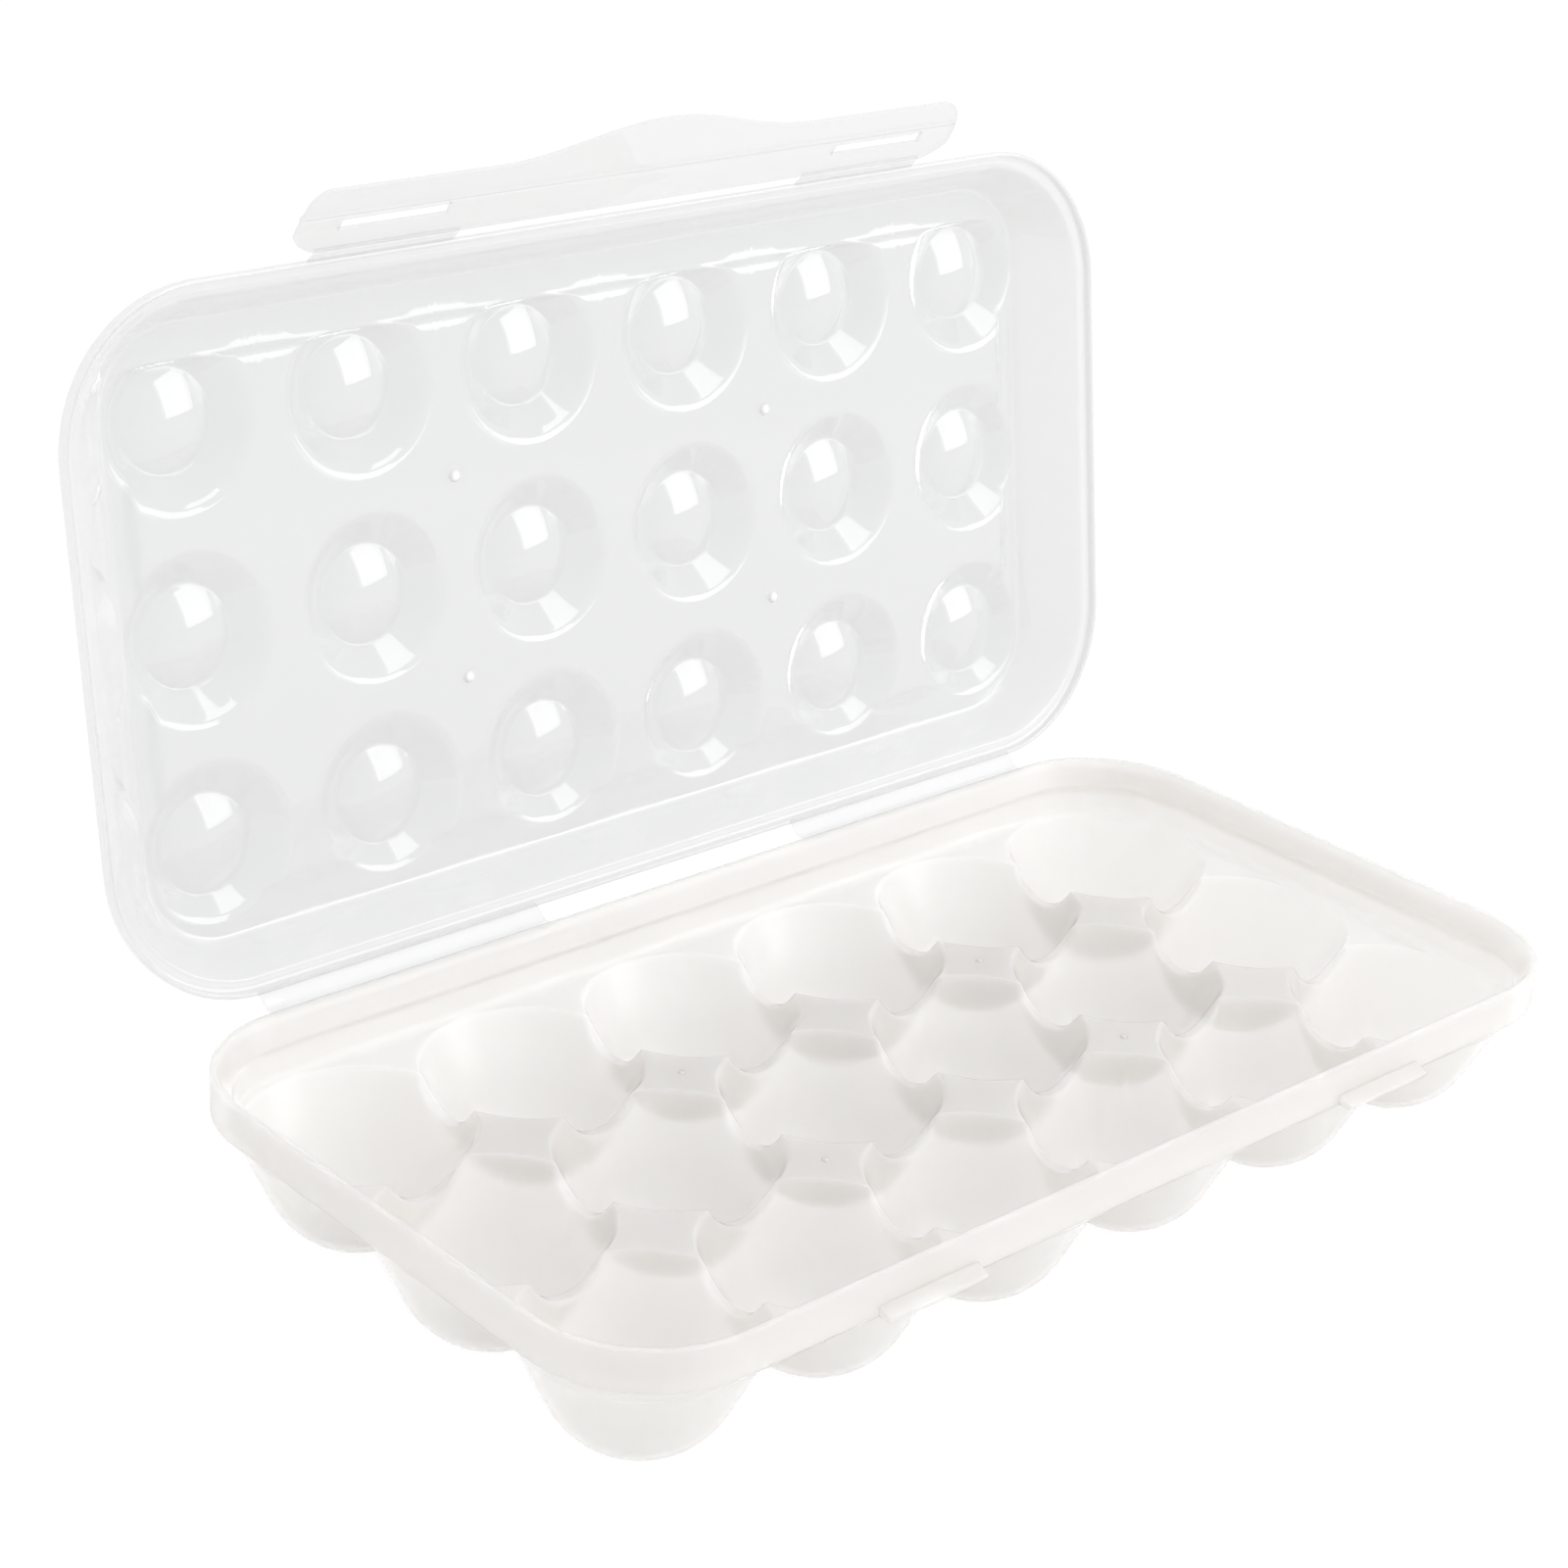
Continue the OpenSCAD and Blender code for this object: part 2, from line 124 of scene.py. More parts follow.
# ---------------------------------------------------------------- places of the lid and the clasp
def turn_x(points, pivot_y, pivot_z, angle):
    """Points turned about the X axis through a pivot."""
    p = np.array(points, float)
    y, z = p[:, 1] - pivot_y, p[:, 2] - pivot_z
    c, s = math.cos(angle), math.sin(angle)
    p[:, 1], p[:, 2] = pivot_y + y * c - z * s, pivot_z + y * s + z * c
    return p


def in_tray(points):
    return np.array(points, float)


def in_lid(points):
    return turn_x(points, HINGE_Y, HINGE_Z, -LID_OPEN)


def in_clasp(points):
    return in_lid(turn_x(points, CLASP_Y, CLASP_Z, -CLASP_OPEN))


def make_mesh(name, points, faces, body, material, placed=in_tray):
    """A mesh from points in the closed part's place, in millimetres, moved to where the frame stands."""
    p = placed(points)
    p[:, 1] -= MIDDLE_Y
    mesh = bpy.data.meshes.new(name)
    mesh.from_pydata((p * MM).tolist(), [], faces)
    mesh.validate()
    mesh.update()
    mesh.polygons.foreach_set("use_smooth", [True] * len(mesh.polygons))
    mesh.materials.append(material)
    obj = bpy.data.objects.new(name, mesh)
    bpy.context.scene.collection.objects.link(obj)
    if body:
        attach(obj, body)
    return obj


# ---------------------------------------------------------------- smooth joins of surfaces
def smooth_min(a, b, k):
    """The lower of two heights, rounded over about k where they meet."""
    h = np.clip(0.5 + 0.5 * (b - a) / k, 0, 1)
    return b * (1 - h) + a * h - k * h * (1 - h)


def smooth_max(a, b, k):
    """The higher of two heights, rounded over about k where they meet."""
    return -smooth_min(-a, -b, k)


def cup_height(r, off):
    """Height of a cup's surface, off = 0 inside and off = wall outside."""
    ball = BALL_R + off
    centre = TRAY_WALL + BALL_R
    r_tangent, z_tangent = ball * math.cos(DRAFT), centre - ball * math.sin(DRAFT)
    low = centre - np.sqrt(np.maximum(ball ** 2 - np.minimum(r, r_tangent) ** 2, 0))
    return np.where(r < r_tangent, low, z_tangent + (r - r_tangent) / math.tan(DRAFT))


def rounded_distance(x, y, hx, hy, r):
    """Signed distance to a rounded rectangle, negative inside."""
    dx, dy = np.abs(x) - (hx - r), np.abs(y) - (hy - r)
    return np.hypot(np.maximum(dx, 0), np.maximum(dy, 0)) + np.minimum(np.maximum(dx, dy), 0) - r


def tray_height(x, y, off):
    """Height of the tray's sheet between its walls: cups, saddles and star posts."""
    inset = FOOT_INSET - off
    to_wall = -rounded_distance(x, y, TRAY_HX - inset, TRAY_HY - inset, TRAY_CORNER_R - inset)
    fillet = WALL_FILLET + off
    rise = fillet - np.sqrt(np.maximum(fillet ** 2 - np.maximum(fillet - to_wall, 0) ** 2, 0))
    z = np.full(x.shape, DECK_Z - off) + np.where(to_wall < fillet, rise, 0)
    middle = DECK_Z - SADDLE_DEPTH + SADDLE_R
    reach = PITCH / 4
    for gx, gy, across in ([(gx, cy, True) for gx in GAP_XS for cy in CUP_YS]
                           + [(cx, gy, False) for cx in CUP_XS for gy in GAP_YS]):
        d, along = (y - gy, x - gx) if across else (x - gx, y - gy)
        near = (np.abs(d) < SADDLE_R + off - 0.05) & (np.abs(along) < reach)
        dip = middle - np.sqrt(np.maximum((SADDLE_R + off) ** 2 - d ** 2, 0))
        z = np.where(near, smooth_min(z, dip, EDGE_ROUND), z)
    for cx, cy in CENTRES:
        r = np.hypot(x - cx, y - cy)
        z = np.where(r < MOUTH_R + 5, smooth_min(z, cup_height(r, off), EDGE_ROUND), z)
    return z


def lid_height(x, y, off):
    """Height of the closed lid's sheet inside its shoulder: sunken panel, crease, band and dimples."""
    to_crease = rounded_distance(x, y, LID_HX - PANEL_IN[0], LID_HY - PANEL_IN[1], PANEL_R)
    to_shoulder = -rounded_distance(x, y, LID_HX - SHOULDER_IN[0], LID_HY - SHOULDER_IN[1], SHOULDER_R)
    share = np.clip(to_crease / np.maximum(to_crease + to_shoulder, 1e-6), 0, 1)
    step = np.clip(to_crease / CREASE_RUN, 0, 1)
    crease = CREASE_H * step ** 2 * (3 - 2 * step)
    z = PANEL_Z + off + crease + (SHOULDER_Z - PANEL_Z - CREASE_H) * share
    slope = math.atan2(RIDGE_H, DIMPLE_R - RIDGE_R)
    dish = (RIDGE_R ** 2 + DISH_H ** 2) / (2 * DISH_H)
    middle = PANEL_Z + RIDGE_H - DISH_H + dish
    past_crease = np.clip((-(LID_HY - PANEL_IN[1]) - y) / FRONT_FADE, 0, 1)
    for cx, cy in CENTRES:
        r = np.minimum(np.hypot(x - cx, y - cy), PITCH / 2 + 6)
        cone = PANEL_Z + (DIMPLE_R - r) * math.tan(slope) * (1 - past_crease) + off / math.cos(slope)
        inner = middle - np.sqrt(np.maximum((dish - off) ** 2 - r ** 2, 1))
        dimple = np.where(r < RIDGE_R + 2.5, smooth_min(cone, inner, RIDGE_ROUND), cone)
        z = np.where(r < DIMPLE_R + 3, smooth_max(z, dimple, DIMPLE_ROUND), z)
    return z


# ---------------------------------------------------------------- sheets of cells inside a moulded rim
def outline_point(section, seg, share):
    """Point on a rounded rectangle (half x, half y, radius): 8 stretches, from the right side's low end."""
    hx, hy, r = section
    sx, sy = hx - r, hy - r
    if seg % 2 == 0:
        ends = {0: ((hx, -sy), (hx, sy)), 2: ((sx, hy), (-sx, hy)),
                4: ((-hx, sy), (-hx, -sy)), 6: ((-sx, -hy), (sx, -hy))}[seg]
        return tuple(a + (b - a) * share for a, b in zip(*ends))
    cx, cy = {1: (sx, sy), 3: (-sx, sy), 5: (-sx, -sy), 7: (sx, -sy)}[seg]
    a = math.radians(90 * ((seg - 1) // 2 + share))
    return cx + r * math.cos(a), cy + r * math.sin(a)


def outline_place(section, s):
    """Stretch and share at length s round a rounded rectangle."""
    hx, hy, r = section
    arc = math.pi * r / 2
    lengths = [2 * (hy - r), arc, 2 * (hx - r), arc] * 2
    s = s % sum(lengths)
    for seg, length in enumerate(lengths):
        if s <= length + 1e-9:
            return seg, min(s / length, 1.0)
        s -= length
    return 7, 1.0


def ring_breaks(section):
    """Lengths round the outline at which the borders between cells meet it, from the right side's first."""
    hx, hy, r = section
    sx, sy, arc = hx - r, hy - r, math.pi * r / 2
    right = [y + sy for y in GAP_YS]
    top = [2 * sy + arc + sx - x for x in reversed(GAP_XS)]
    left = [2 * sy + 2 * arc + 2 * sx + sy - y for y in reversed(GAP_YS)]
    bottom = [4 * sy + 3 * arc + 2 * sx + x + sx for x in GAP_XS]
    return right + top + left + bottom, 4 * (sx + sy) + 4 * arc


def ring_places(section, step):
    """Places round the outline, even between breaks, and the number of the first place after each break."""
    breaks, total = ring_breaks(section)
    places, starts = [], []
    for s, after in zip(breaks, breaks[1:] + breaks[:1]):
        length = (after - s) % total
        count = max(2, round(length / step))
        starts.append(len(places))
        places += [outline_place(section, s + length * t / count) for t in range(count)]
    return places, starts


def break_numbers():
    """The number of the break at which each border ends, in the order of ring_breaks."""
    n_right, n_top = ROWS - 1, COLUMNS - 1
    numbers = {}
    for j in range(n_right):
        numbers["right", j] = j
        numbers["left", n_right - 1 - j] = n_right + n_top + j
    for i in range(n_top):
        numbers["top", n_top - 1 - i] = n_right + i
        numbers["bottom", i] = 2 * n_right + n_top + i
    return numbers


def border_line(p, q, step):
    """Points from p up to, but not with, q: the same ones for both cells that share the border."""
    count = max(2, round(math.dist(p, q) / step))
    low, high = sorted((p, q))
    points = [tuple(a + (b - a) * t / count for a, b in zip(low, high)) for t in range(count + 1)]
    return (points[::-1] if p > q else points)[:-1]


def cell_loop(i, j, ring, starts, step):
    """Points round the cell of column i and row j, along borders with other cells and along the ring."""
    numbers = break_numbers()
    east, north, west, south = i < COLUMNS - 1, j < ROWS - 1, i > 0, j > 0

    def node(side, k):
        return ring[starts[numbers[side, k]]]

    def run(a, b):
        """Ring points from break a up to, but not with, break b."""
        k, out = starts[a], []
        while k != starts[b]:
            out.append(ring[k])
            k = (k + 1) % len(ring)
        return out

    se = (GAP_XS[i], GAP_YS[j - 1]) if east and south else None
    ne = (GAP_XS[i], GAP_YS[j]) if east and north else None
    nw = (GAP_XS[i - 1], GAP_YS[j]) if west and north else None
    sw = (GAP_XS[i - 1], GAP_YS[j - 1]) if west and south else None
    loop = []
    if east:
        loop += border_line(se or node("bottom", i), ne or node("top", i), step)
    if north:
        loop += border_line(ne or node("right", j), nw or node("left", j), step)
    else:
        loop += run(numbers["top", i] if east else numbers["right", j - 1],
                    numbers["top", i - 1] if west else numbers["left", j - 1])
    if west:
        loop += border_line(nw or node("top", i - 1), sw or node("bottom", i - 1), step)
    elif north:
        loop += run(numbers["left", j], numbers["left", j - 1] if south else numbers["bottom", i])
    if south:
        loop += border_line(sw or node("left", j - 1), se or node("right", j - 1), step)
    elif west:
        loop += run(numbers["bottom", i - 1], numbers["bottom", i] if east else numbers["right", j])
    if not east and north and south:
        loop += run(numbers["right", j - 1], numbers["right", j])
    return np.array(loop)


def cell_rings(reach, zones):
    """Radii of a cell's rings: fixed ones, then shares of the way to a circle, then on to the border."""
    fixed, (circle_r, to_circle), to_border = zones
    circle = np.minimum(circle_r, reach * 0.997)
    rings = [np.full(len(reach), r) for r in fixed]
    rings += [fixed[-1] + (circle - fixed[-1]) * t for t in to_circle]
    rings += [circle + (reach - circle) * t for t in to_border]
    return rings


def cell_face(points, faces, ring, starts, height, up, zones, step):
    """Adds one face of a sheet, a height over x and y; returns the point at each place of its ring."""
    index = {}

    def key(x, y):
        return round(x, 4), round(y, 4)

    def vertex(x, y):
        if key(x, y) not in index:
            index[key(x, y)] = len(points)
            points.append((x, y, 0.0))
        return index[key(x, y)]

    for i, cx in enumerate(CUP_XS):
        for j, cy in enumerate(CUP_YS):
            loop = cell_loop(i, j, ring, starts, step)
            away = loop - (cx, cy)
            reach = np.hypot(away[:, 0], away[:, 1])
            unit = away / reach[:, None]
            rows = [(cx, cy) + unit * r[:, None] for r in cell_rings(reach, zones)[:-1]] + [loop]
            before = [vertex(cx, cy)] * len(loop)
            for row in rows:
                now = [vertex(*p) for p in row]
                for m in range(len(now)):
                    m1 = (m + 1) % len(now)
                    quad = (before[m], now[m], now[m1], before[m1])
                    if quad[0] == quad[3]:
                        quad = quad[:3]
                    if len(set(quad)) > 2:
                        faces.append(quad if up else quad[::-1])
                before = now
    used = sorted(index.values())
    xy = np.array([points[k][:2] for k in used])
    for k, (x, y), z in zip(used, xy, height(xy[:, 0], xy[:, 1])):
        points[k] = (x, y, z)
    return [index[key(*p)] for p in ring]


def sheet(section_a, section_b, height_a, height_b, profile, zones, step):
    """A closed moulded sheet. Face A looks up and face B down; both are cells round the cup centres,
    and profile, a list of (half x, half y, radius, z), carries A's edge out and round to B's edge.
    Returns points, faces and the number of the profile's first face."""
    places, starts = ring_places(section_a, step)
    points, faces = [], []
    edges = []
    for section, height, up in ((section_a, height_a, True), (section_b, height_b, False)):
        ring = [outline_point(section, *place) for place in places]
        edges.append(cell_face(points, faces, ring, starts, height, up, zones, step))
    rows = [edges[0]]
    for *section, z in profile:
        rows.append(list(range(len(points), len(points) + len(places))))
        points += [(*outline_point(section, *place), z) for place in places]
    rows.append(edges[1])
    first_wall = len(faces)
    for low, high in zip(rows, rows[1:]):
        for k in range(len(places)):
            k1 = (k + 1) % len(places)
            faces.append((low[k], high[k], high[k1], low[k1]))
    return points, faces, first_wall


def spaced(low, high, count):
    """Even steps from low, which is left out, to high."""
    return [low + (high - low) * k / count for k in range(1, count + 1)]


# ---------------------------------------------------------------- materials
PP_IOR = 1.49
PANEL_BENDING, EDGE_BENDING = 1.03, 1.006   # a thin wall hardly bends the view, and less so at the steep rim
SCATTER_REACH = 4.0


def polypropylene(name, colour, roughness):
    """Pale moulded polypropylene; its shader is returned too, for what makes the moulding milky or clear."""
    m = bpy.data.materials.new(name)
    m.use_nodes = True
    shader = m.node_tree.nodes["Principled BSDF"]
    shader.inputs["Base Color"].default_value = (*colour, 1)
    shader.inputs["Roughness"].default_value = roughness
    return m, shader


def milky(name, colour, see_through):
    """Milky: light scatters inside the wall, and a part of it goes straight through."""
    m, shader = polypropylene(name, colour, 0.2)
    shader.inputs["IOR"].default_value = PP_IOR
    shader.inputs["Alpha"].default_value = 1 - see_through
    shader.inputs["Subsurface Weight"].default_value = 1.0
    shader.inputs["Subsurface Radius"].default_value = (1.0, 1.0, 1.0)
    shader.inputs["Subsurface Scale"].default_value = SCATTER_REACH * MM
    return m


def clear(name, colour, clearness, roughness, bending):
    """Clear and thin: what lies behind shows almost unbent, under a sharp gloss."""
    m, shader = polypropylene(name, colour, roughness)
    shader.inputs["IOR"].default_value = bending
    shader.inputs["Transmission Weight"].default_value = clearness
    shader.inputs["Coat Weight"].default_value = 1.0
    shader.inputs["Coat Roughness"].default_value = roughness
    shader.inputs["Coat IOR"].default_value = PP_IOR
    return m


# Name, colour, share seen straight through; the clear ones have also the gloss's roughness and how far they bend light
MILKY = milky("milky_polypropylene", (0.975, 0.92, 0.885), 0.55)
CLEAR = clear("clear_polypropylene", (0.805, 0.808, 0.811), 0.86, 0.01, PANEL_BENDING)
# Painted light: the lid's rim and wall use a paler, less clear copy of the same plastic, so they look lighter than
# their rendered shade.
CLEAR_RIM_PAINTED_LIGHT = clear("clear_polypropylene_rim_painted_light", (0.875, 0.877, 0.879), 0.74, 0.03, EDGE_BENDING)
# Painted light: the clasp flap uses a paler copy of the same plastic, so it looks lighter than its rendered shade.
CLEAR_FLAP_PAINTED_LIGHT = clear("clear_polypropylene_flap_painted_light", (0.885, 0.887, 0.889), 0.78, 0.03, EDGE_BENDING)
# Gate marks: whitish from stress whitening, and made whiter and less clear still as a painted highlight that stands in
# for the glint on each pip.
GATE_MARK_AND_GLINT = clear("gate_mark_and_glint", (0.97, 0.97, 0.97), 0.1, 0.1, EDGE_BENDING)
WEB = clear("thin_polypropylene", (0.94, 0.942, 0.944), 0.85, 0.06, EDGE_BENDING)


# ---------------------------------------------------------------- tray
def tray_section(inset):
    """Half x, half y and corner radius of the tray's outline, moved in."""
    return TRAY_HX - inset, TRAY_HY - inset, TRAY_CORNER_R - inset


def tray_profile():
    """Rows up the wall and the step, up the slope, over the rim, down the band and back under it to the cups."""
    wall = [(5.08, 31.1), (4.99, 33.0), (4.9, 35.0), (4.82, 36.6), (4.74, 37.05), (4.5, 37.35)]
    slope = [(4.3 - 2.55 * t, RIM_Z - 5.25 + 4.55 * t) for t in spaced(0, 1, 6)]
    crest = [(inset, RIM_Z - drop) for inset, drop in (
        (1.5, 0.25), (1.3, 0.06), (1.0, 0), (0.45, 0), (0.2, 0.06), (0.05, 0.24), (0, 0.5))]
    band = [(0, RIM_Z - 2.5), (0, RIM_Z - 5), (0, RIM_Z - 7.5), (0, BAND_Z + 0.6)]
    hem = [(inset, BAND_Z + rise) for inset, rise in (
        (0.08, 0.25), (0.3, 0.04), (0.65, 0), (1.0, 0.04), (1.22, 0.25), (TRAY_WALL, 0.6))]
    behind = [(TRAY_WALL, BAND_Z + 2.5), (TRAY_WALL, BAND_Z + 5), (TRAY_WALL, BAND_Z + 6.8), (1.38, BAND_Z + 7.35)]
    under = [(1.6, 40.4), (1.85, 39.95), (2.6, 38.6), (3.35, 37.3), (3.48, 36.95), (3.52, 36.4), (3.6, 34.0),
             (3.7, 31.0)]
    return [(*tray_section(inset), z) for inset, z in wall + slope + crest + band + hem + behind + under]


def build_tray():
    """One sheet from the cups to the hem of the band. Zones: rings in the cup, to its mouth, to the cell's border."""
    zones = ([1.5, 3, 4.5, 6, 7.5, 9, 10.5, 12, 13.5, 15, 16.3, 17.4, 18.4, 19.3, 20.2],
             (MOUTH_R, spaced(0, 1, 14)), [0.06, 0.14, 0.26, 0.42, 0.6, 0.8, 1.0])
    points, faces, _ = sheet(
        tray_section(FOOT_INSET), tray_section(FOOT_INSET - TRAY_WALL),
        lambda x, y: tray_height(x, y, 0), lambda x, y: tray_height(x, y, TRAY_WALL),
        tray_profile(), zones, TRAY_STEP)
    shell = make_mesh("tray_shell", points, faces, "tray_body", MILKY)
    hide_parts("tray")


# ---------------------------------------------------------------- lid
def lid_section(in_x, in_y, r):
    """Half x, half y and corner radius of the lid's outline, moved in by different amounts."""
    return LID_HX - in_x, LID_HY - in_y, r


LID_RING = lid_section(SHOULDER_IN[0] + 0.6, SHOULDER_IN[1] + 0.6, SHOULDER_R - 0.4)


def lid_profile():
    """Rows over the shoulder and down the wall, out over the ledge, round the skirt and back up inside."""
    (sx, sy), sr = SHOULDER_IN, SHOULDER_R
    w, edge_r = LID_WALL, LID_CORNER_R
    top, ledge_top = SHOULDER_Z + w, LEDGE_Z + w
    shoulder = [(sx + 0.1, sy + 0.1, sr, top - 0.05), (sx - 0.45, sy - 0.4, sr + 0.5, top - 0.3),
                (sx - 1.1, sy - 0.95, sr + 0.9, top - 0.65), (sx - 1.6, sy - 1.4, sr + 1.1, top - 1.05)]
    start, end = (sx - 1.8, sy - 1.8, sr + 1.2, top - 1.2), (3.0, 3.0, edge_r - 3, ledge_top)
    wall = [tuple(a + (b - a) * t for a, b in zip(start, end)) for t in spaced(0, 0.93, 8)]
    ledge = [(3.35, 2.85, edge_r - 2.9, ledge_top + 0.25), (2.6, 2.5, edge_r - 2.5, ledge_top + 0.03),
             (1.6, 1.6, edge_r - 1.6, ledge_top), (0.5, 0.5, edge_r - 0.5, ledge_top),
             (0.2, 0.2, edge_r - 0.2, ledge_top - 0.08), (0.04, 0.04, edge_r - 0.04, ledge_top - 0.3)]
    skirt = [(0, LEDGE_Z), (0, LID_Z + 0.9), (0, LID_Z + 0.4), (0.1, LID_Z + 0.12), (0.35, LID_Z), (0.85, LID_Z),
             (1.1, LID_Z + 0.12), (w, LID_Z + 0.4), (w, LID_Z + 1.1), (1.25, LID_Z + 1.5)]
    ledge_in = [(1.5, LEDGE_Z), (2.6, LEDGE_Z), (3.7, LEDGE_Z)]
    around = [(inset, inset, edge_r - inset, z) for inset, z in skirt + ledge_in]
    root = [(4.1, 4.05, edge_r - 4.1, LEDGE_Z + 0.05)]
    start, end = (4.45, 4.25, edge_r - 4.3, LEDGE_Z + 0.3), (sx - 0.8, sy - 0.75, sr + 0.4, SHOULDER_Z - 1.4)
    wall_in = [tuple(a + (b - a) * t for a, b in zip(start, end)) for t in [0] + spaced(0, 1, 8)]
    shoulder_in = [(sx - 0.35, sy - 0.3, sr + 0.1, SHOULDER_Z - 0.7),
                   (sx + 0.05, sy + 0.05, sr - 0.1, SHOULDER_Z - 0.25)]
    rows = shoulder + wall + ledge + around + root + wall_in + shoulder_in
    return [(*lid_section(in_x, in_y, r), z) for in_x, in_y, r, z in rows]


def build_lid():
    """One sheet, whose rim and wall are made to look paler with painted light: they use a paler, less clear copy of
    the same plastic. Zones: rings over the dish, down the dimple's cone, to the border.
    """
    zones = ([1.4, 2.8, 4.2, 5.6, 7.0, 8.4, 9.6, 10.4, 11.0, 11.4, 11.7, 12.0, 12.3, 12.8],
             (DIMPLE_R, spaced(0, 1, 14)), [0.04, 0.09, 0.16, 0.3, 0.45, 0.6, 0.8, 1.0])
    points, faces, first_wall = sheet(
        LID_RING, LID_RING, lambda x, y: lid_height(x, y, LID_WALL), lambda x, y: lid_height(x, y, 0),
        lid_profile(), zones, LID_STEP)
    shell = make_mesh("lid_shell", points, faces, "lid_body", CLEAR, in_lid)
    shell.data.materials.append(CLEAR_RIM_PAINTED_LIGHT)
    for face in shell.data.polygons[first_wall:]:
        face.material_index = 1
    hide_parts("lid")


# ---------------------------------------------------------------- clasp
def clasp_half(s):
    """Half the clasp's length at depth s: its ends swell and round off towards the free edge."""
    if s < SWELL_S:
        return CLASP_ROOT_X + CLASP_SWELL * (1 - ((SWELL_S - s) / (SWELL_S - CLASP_ROOT)) ** 2)
    t = min(1.0, (s - SWELL_S) / (CLASP_DEPTH - SWELL_S))
    return CLASP_ROOT_X + CLASP_SWELL * math.sqrt(max(0.0, 1 - t ** END_FULLNESS))


def clasp_edge(x):
    """Depth of the clasp's free edge at x, deepest at the thumb tab."""
    return CLASP_DEPTH + THUMB_DEPTH * math.cos(math.radians(min(90, 90 * abs(x) / THUMB_HALF))) ** 2


def clasp_out(s):
    """How far the sheet stands out at depth s: a pressed fold, then a lip that leans away."""
    fold = FOLD_DEEP * math.exp(-((s - FOLD_S) / FOLD_WIDTH) ** 2)
    return fold + max(0.0, s - FOLD_S) * math.tan(LIP_LEAN)


def build_clasp():
    """A grid of depths by lengths with two windows left out, thickened and with soft edges."""
    # Depths down to below the fold, then shares of the way to the free edge
    upper = [CLASP_ROOT, 1.6, 2.6, 3.8, 5.2, 6.2, *WINDOW_S]
    upper += [FOLD_S + s for s in (-0.6, -0.3, -0.15, 0, 0.15, 0.3, 0.7, 1.4)]
    lower = [0.12, 0.25, 0.4, 0.55, 0.7, 0.82, 0.91, 0.96, 1.0]
    over_window, over_middle = 12, 48
    inner = [-WINDOW_X[1] + k * (WINDOW_X[1] - WINDOW_X[0]) / over_window for k in range(over_window)]
    middle = [-WINDOW_X[0] + k * 2 * WINDOW_X[0] / over_middle for k in range(over_middle)]
    inner += middle + [-x for x in reversed(inner + [middle[0]])]
    # Shares of the way from the windows to the ends
    ends = [0.2, 0.42, 0.62, 0.78, 0.9, 0.97, 1.0]
    points, faces, rows = [], [], []
    for low, t in [(s, None) for s in upper] + [(upper[-1], t) for t in lower]:
        row = []
        base = low if t is None else low + (CLASP_DEPTH - low) * t
        half = clasp_half(base if t is None else min(base, CLASP_DEPTH - 0.05 * (1 - t)))
        reach = [inner[-1] + (half - inner[-1]) * e for e in ends]
        for x in [-r for r in reversed(reach)] + inner + reach:
            s = low if t is None else low + (clasp_edge(x) - low) * t
            row.append(len(points))
            points.append((x, -CLASP_IN_Y - CLASP_T / 2 - clasp_out(s), CLASP_Z - s))
        rows.append((base, row))
    for (s0, a), (s1, b) in zip(rows, rows[1:]):
        for k in range(len(a) - 1):
            x = (points[a[k]][0] + points[a[k + 1]][0]) / 2
            if WINDOW_X[0] < abs(x) < WINDOW_X[1] and s0 >= WINDOW_S[0] and s1 <= WINDOW_S[1]:
                continue
            faces.append((a[k], a[k + 1], b[k + 1], b[k]))
    flap = make_mesh("clasp_flap", points, faces, None, CLEAR_FLAP_PAINTED_LIGHT, in_clasp)
    thick = flap.modifiers.new("thickness", "SOLIDIFY")
    thick.thickness, thick.offset = CLASP_T * MM, 0
    soft = flap.modifiers.new("soft_edges", "BEVEL")
    soft.width, soft.segments, soft.limit_method = SOFT_EDGE * MM, 3, "ANGLE"
    soft.angle_limit = math.radians(50)
    soft.harden_normals = True
    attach(flap, "clasp_body")
    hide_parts("clasp")


# ---------------------------------------------------------------- living hinges
def web_path(root_a, line, root_b):
    """Middle line of a strip as (y, z), bent round the bending line, with the ends of the bend."""
    a, l, b = (np.array(p, float) for p in (root_a, line, root_b))
    to_a, to_b = np.linalg.norm(a - l), np.linalg.norm(b - l)
    bend = min(BEND_REACH, to_a * 0.6, to_b * 0.6)
    p, q = l + (a - l) / to_a * bend, l + (b - l) / to_b * bend
    path = [a + (p - a) * t for t in (0, 0.3, 0.6, 0.85)]
    path += [p * (1 - t) ** 2 + l * 2 * t * (1 - t) + q * t ** 2 for t in np.linspace(0, 1, 11)]
    path += [q + (b - q) * t for t in (0.15, 0.4, 0.7, 1)]
    return np.array(path), p, q


def grid_box(n, m):
    """Faces of a closed slab from two grids of m rows of n points, the upper grid first."""
    faces = []
    low = n * m
    for k in range(m - 1):
        for i in range(n - 1):
            v = k * n + i
            faces.append((v, v + 1, v + n + 1, v + n))
            faces.append((low + v, low + v + n, low + v + n + 1, low + v + 1))
    for i in range(n - 1):
        v = (m - 1) * n + i
        faces.append((i, low + i, low + i + 1, i + 1))
        faces.append((v, v + 1, low + v + 1, low + v))
    for k in range(m - 1):
        v, w = k * n, k * n + n - 1
        faces.append((v, v + n, low + v + n, low + v))
        faces.append((w, low + w, low + w + n, w + n))
    return faces


